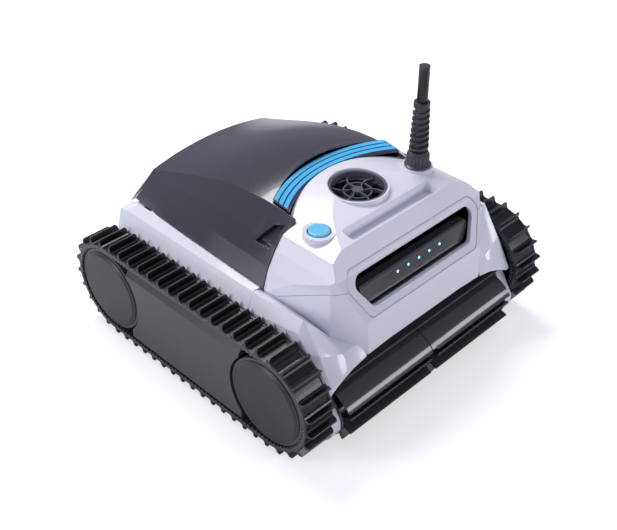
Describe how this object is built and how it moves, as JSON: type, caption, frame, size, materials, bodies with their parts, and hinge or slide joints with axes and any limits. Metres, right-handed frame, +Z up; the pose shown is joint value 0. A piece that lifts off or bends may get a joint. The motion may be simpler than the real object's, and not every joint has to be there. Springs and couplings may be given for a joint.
{
  "type": "robotic pool cleaner",
  "caption": "Tracked robotic pool cleaner with a domed filter lid, top outlet, roller brushes and a corded gland on its deck.",
  "frame": {"origin": "on the ground under the middle of the machine", "axes": "+X to the machine's right, -Y to its front with the handle window, +Z up"},
  "size_m": [0.4024, 0.4058, 0.339],
  "materials": {
    "white_shell": "semi-gloss white moulding",
    "lid_grey": "dark grey, soft sheen",
    "panel_grey": "dark grey, fine grain",
    "cap_grey": "dark grey satin disc",
    "wheel_black": "black moulding",
    "track_rubber": "black rubber",
    "brush_rubber": "glossy black rubber fins",
    "seal_rubber": "black rubber",
    "gloss_black": "gloss black",
    "grey_frame": "dark grey chassis",
    "dark_frame": "black structural plastic",
    "pocket_grey": "gloss black liner",
    "smoked_lens": "gloss black light bar",
    "lamp": "cool white lamps",
    "navy_trim": "navy",
    "blue_trim": "bright blue",
    "grille_grey": "dark blue-grey",
    "impeller_blue": "dark plastic rotor",
    "motor_metal": "sealed can",
    "board_green": "circuit board",
    "basket_grey": "grey frame",
    "mesh_white": "fine screen",
    "button_cyan": "light blue",
    "gland_grey": "dark grey",
    "boot_black": "black",
    "cable_black": "gloss black jacket",
    "steel": "stainless"
  },
  "bodies": {
    "hull": {"chassis_base": "grey_frame", "wheel_axles": "steel", "brush_pins": "steel", "front_cowl": "white_shell", "front_shell": "white_shell", "rear_shell": "white_shell", "window_bezel": "white_shell", "handle_pocket": "pocket_grey", "led_lens": "smoked_lens", "led_lamps": "lamp", "trim_base": "navy_trim", "trim_stripes": "blue_trim", "lid_hinge_pins": "steel", "outlet_duct": "dark_frame", "outlet_grille": "grille_grey", "motor_box": "dark_frame", "motor_box_seal": "seal_rubber", "motor_box_lid": "dark_frame", "shaft_seal": "seal_rubber", "pump_motor": "motor_metal", "control_board": "board_green", "inlet_duct": "dark_frame", "suction_lips": "seal_rubber", "button_spring": "steel", "cable_gland": "gland_grey", "gland_nut": "gland_grey", "cable_boot": "boot_black", "cable": "cable_black", "base_screws": "steel", "brush_brackets": "gloss_black", "brush_guards": "gloss_black", "track_frames": "dark_frame", "gear_covers": "white_shell", "drive_motors": "motor_metal", "track_left": "track_rubber", "side_panel_left": "panel_grey", "fender_left": "white_shell", "track_right": "track_rubber", "side_panel_right": "panel_grey", "fender_right": "white_shell"},
    "lid": {"filter_lid": "lid_grey"},
    "impeller": {"impeller": "impeller_blue"},
    "basket": {"basket_frame": "basket_grey", "basket_mesh": "mesh_white"},
    "button": {"button_cap": "button_cyan"},
    "pinion_left": {"pinion_left": "steel"},
    "wheel_front_left": {"wheel_front_left": "wheel_black", "wheel_cap_front_left": "cap_grey"},
    "brush_front_left": {"brush_front_left": "brush_rubber"},
    "wheel_rear_left": {"wheel_rear_left": "wheel_black", "wheel_cap_rear_left": "cap_grey"},
    "brush_rear_left": {"brush_rear_left": "brush_rubber"},
    "pinion_right": {"pinion_right": "steel"},
    "wheel_front_right": {"wheel_front_right": "wheel_black", "wheel_cap_front_right": "cap_grey"},
    "brush_front_right": {"brush_front_right": "brush_rubber"},
    "wheel_rear_right": {"wheel_rear_right": "wheel_black", "wheel_cap_rear_right": "cap_grey"},
    "brush_rear_right": {"brush_rear_right": "brush_rubber"}
  },
  "joints": [
    {"name": "lid_open", "type": "hinge", "parent": "hull", "child": "lid", "pos_m": [0, 0.1925, 0.131], "axis": [-1, 0, 0], "range_deg": [0, 75]},
    {"name": "basket_lift", "type": "slide", "parent": "hull", "child": "basket", "axis": [0, 0, 1], "range_m": [0, 0.066]},
    {"name": "impeller_spin", "type": "hinge", "parent": "hull", "child": "impeller", "pos_m": [0, -0.076, 0.19], "axis": [0, 0, 1], "continuous": true},
    {"name": "button_press", "type": "slide", "parent": "hull", "child": "button", "axis": [0, 0, -1], "range_m": [0, 0.0025], "stiffness_N_per_m": 400, "springref_m": -0.002, "deforming": ["button_spring"]},
    {"name": "wheel_front_left_spin", "type": "hinge", "parent": "hull", "child": "wheel_front_left", "pos_m": [-0.18, -0.135, 0.068], "axis": [1, 0, 0], "continuous": true},
    {"name": "wheel_rear_left_spin", "type": "hinge", "parent": "hull", "child": "wheel_rear_left", "pos_m": [-0.18, 0.135, 0.068], "axis": [1, 0, 0], "continuous": true},
    {"name": "pinion_left_spin", "type": "hinge", "parent": "hull", "child": "pinion_left", "pos_m": [-0.15, -0.095, 0.068], "axis": [1, 0, 0], "continuous": true},
    {"name": "brush_front_left_spin", "type": "hinge", "parent": "hull", "child": "brush_front_left", "pos_m": [-0.075, -0.17001, 0.0359], "axis": [1, 0, 0], "continuous": true},
    {"name": "brush_rear_left_spin", "type": "hinge", "parent": "hull", "child": "brush_rear_left", "pos_m": [-0.075, 0.17001, 0.0359], "axis": [1, 0, 0], "continuous": true},
    {"name": "wheel_front_right_spin", "type": "hinge", "parent": "hull", "child": "wheel_front_right", "pos_m": [0.18, -0.135, 0.068], "axis": [1, 0, 0], "continuous": true},
    {"name": "wheel_rear_right_spin", "type": "hinge", "parent": "hull", "child": "wheel_rear_right", "pos_m": [0.18, 0.135, 0.068], "axis": [1, 0, 0], "continuous": true},
    {"name": "pinion_right_spin", "type": "hinge", "parent": "hull", "child": "pinion_right", "pos_m": [0.15, -0.095, 0.068], "axis": [1, 0, 0], "continuous": true},
    {"name": "brush_front_right_spin", "type": "hinge", "parent": "hull", "child": "brush_front_right", "pos_m": [0.075, -0.17001, 0.0359], "axis": [1, 0, 0], "continuous": true},
    {"name": "brush_rear_right_spin", "type": "hinge", "parent": "hull", "child": "brush_rear_right", "pos_m": [0.075, 0.17001, 0.0359], "axis": [1, 0, 0], "continuous": true}
  ],
  "couplings": [
    {"joint": "basket_lift", "follows": "lid_open", "m_per_rad": 0.05},
    {"joint": "wheel_rear_left_spin", "follows": "wheel_front_left_spin", "ratio": 1},
    {"joint": "pinion_left_spin", "follows": "wheel_front_left_spin", "ratio": -3},
    {"joint": "brush_front_left_spin", "follows": "wheel_front_left_spin", "ratio": -1.7143},
    {"joint": "brush_rear_left_spin", "follows": "wheel_front_left_spin", "ratio": -1.7143},
    {"joint": "wheel_rear_right_spin", "follows": "wheel_front_right_spin", "ratio": 1},
    {"joint": "pinion_right_spin", "follows": "wheel_front_right_spin", "ratio": -3},
    {"joint": "brush_front_right_spin", "follows": "wheel_front_right_spin", "ratio": -1.7143},
    {"joint": "brush_rear_right_spin", "follows": "wheel_front_right_spin", "ratio": -1.7143}
  ]
}
